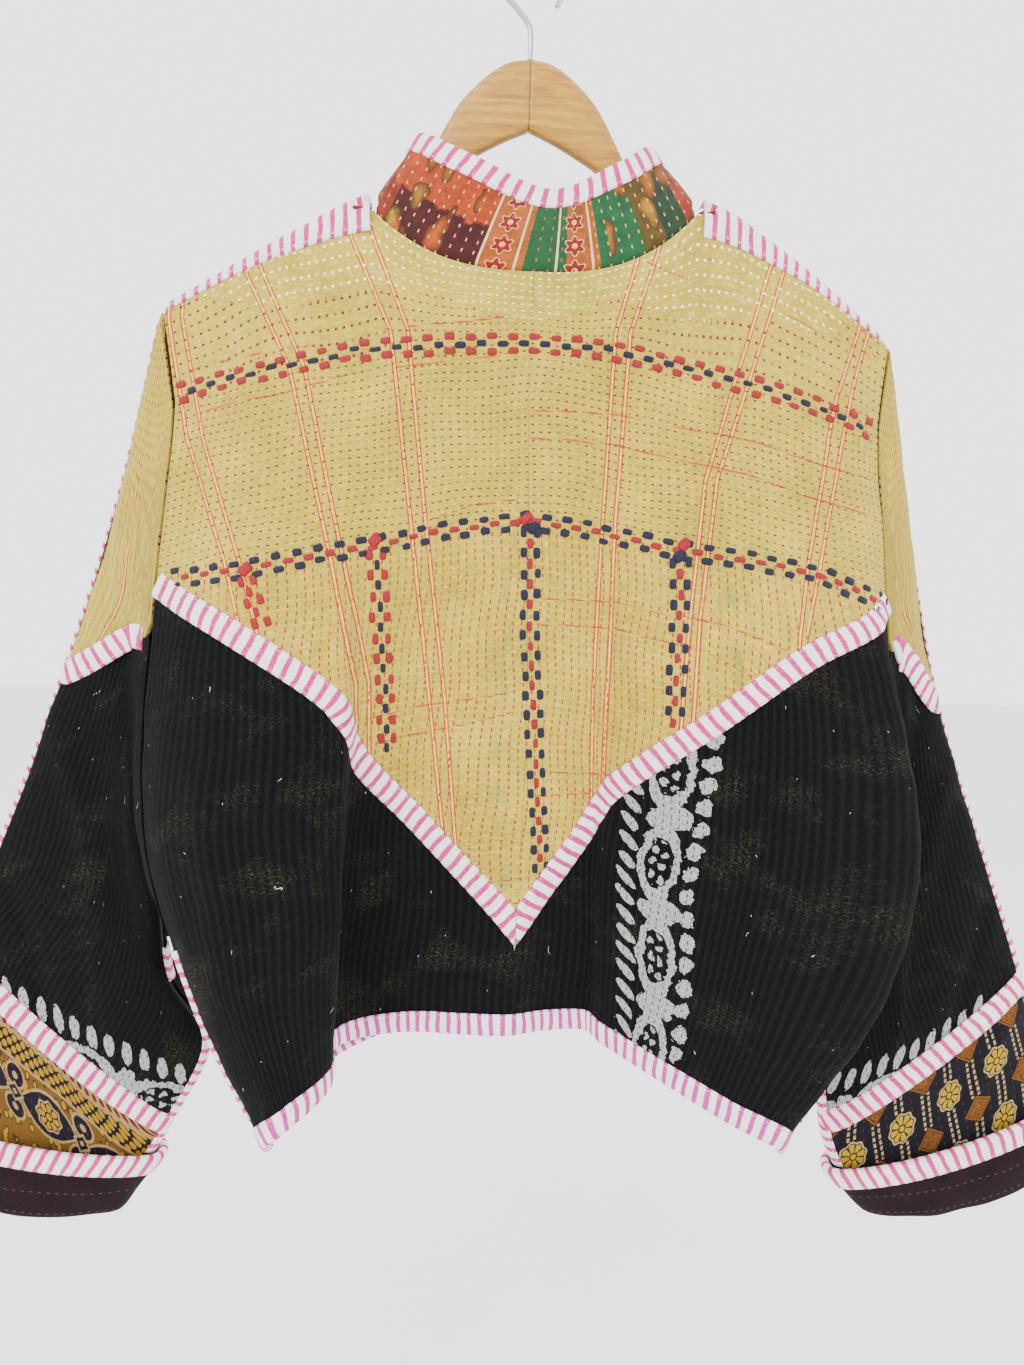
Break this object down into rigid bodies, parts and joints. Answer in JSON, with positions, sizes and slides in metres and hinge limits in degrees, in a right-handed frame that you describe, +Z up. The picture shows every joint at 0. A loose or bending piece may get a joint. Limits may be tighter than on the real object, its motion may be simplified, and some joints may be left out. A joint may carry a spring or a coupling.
{
  "type": "kantha jacket on a hanger",
  "caption": "Cropped quilted kantha jacket with a V-seamed back yoke, wide bound sleeves with turned-up cuffs and a stand collar, hanging open on a shaped wooden hanger.",
  "frame": {"origin": "the inside top of the hanger's wire hook, where a rod or wall hook carries the hanger", "axes": "+Z up; -Y is the way the jacket's back faces; +X is towards the wearer's right sleeve"},
  "size_m": [0.8049, 0.1165, 0.8178],
  "materials": {
    "olive_kantha": "matt, faded hand-quilted cotton",
    "black_kantha": "matt, washed-out hand-quilted cotton",
    "orange_print": "matt printed cotton",
    "patched_print": "matt printed quilted cotton",
    "striped_binding": "matt white cotton tape with pink stripes",
    "brocade_print": "soft sheen, woven pattern",
    "maroon_cotton": "matt plain weave",
    "hanger_wood": "satin varnish",
    "hook_wire": "bright drawn wire"
  },
  "bodies": {
    "root": {"back_yoke_left": "olive_kantha", "back_yoke_right": "olive_kantha", "back_lower": "black_kantha", "binding_vee_left": "striped_binding", "binding_vee_right": "striped_binding", "front_left": "orange_print", "front_right": "orange_print", "binding_shoulder_left": "striped_binding", "binding_hem_front_left": "striped_binding", "binding_front_left": "striped_binding", "binding_side_left": "striped_binding", "binding_shoulder_right": "striped_binding", "binding_hem_front_right": "striped_binding", "binding_front_right": "striped_binding", "binding_side_right": "striped_binding", "binding_hem_back": "striped_binding", "collar": "patched_print", "binding_collar": "striped_binding", "sleeve_left_upper_back": "olive_kantha", "sleeve_left_middle_back": "black_kantha", "sleeve_left_band_back": "brocade_print", "binding_left_one_back": "striped_binding", "binding_left_two_back": "striped_binding", "sleeve_left_upper_front": "olive_kantha", "sleeve_left_middle_front": "black_kantha", "sleeve_left_band_front": "brocade_print", "binding_left_one_front": "striped_binding", "binding_left_two_front": "striped_binding", "binding_left_overarm": "striped_binding", "binding_left_underarm": "striped_binding", "cuff_left": "maroon_cotton", "binding_left_cuff": "striped_binding", "sleeve_right_upper_back": "olive_kantha", "sleeve_right_middle_back": "black_kantha", "sleeve_right_band_back": "brocade_print", "binding_right_one_back": "striped_binding", "binding_right_two_back": "striped_binding", "sleeve_right_upper_front": "olive_kantha", "sleeve_right_middle_front": "black_kantha", "sleeve_right_band_front": "brocade_print", "binding_right_one_front": "striped_binding", "binding_right_two_front": "striped_binding", "binding_right_overarm": "striped_binding", "binding_right_underarm": "striped_binding", "cuff_right": "maroon_cotton", "binding_right_cuff": "striped_binding", "hanger_arm_left": "hanger_wood", "hanger_arm_right": "hanger_wood", "hanger_hook": "hook_wire"}
  },
  "joints": []
}
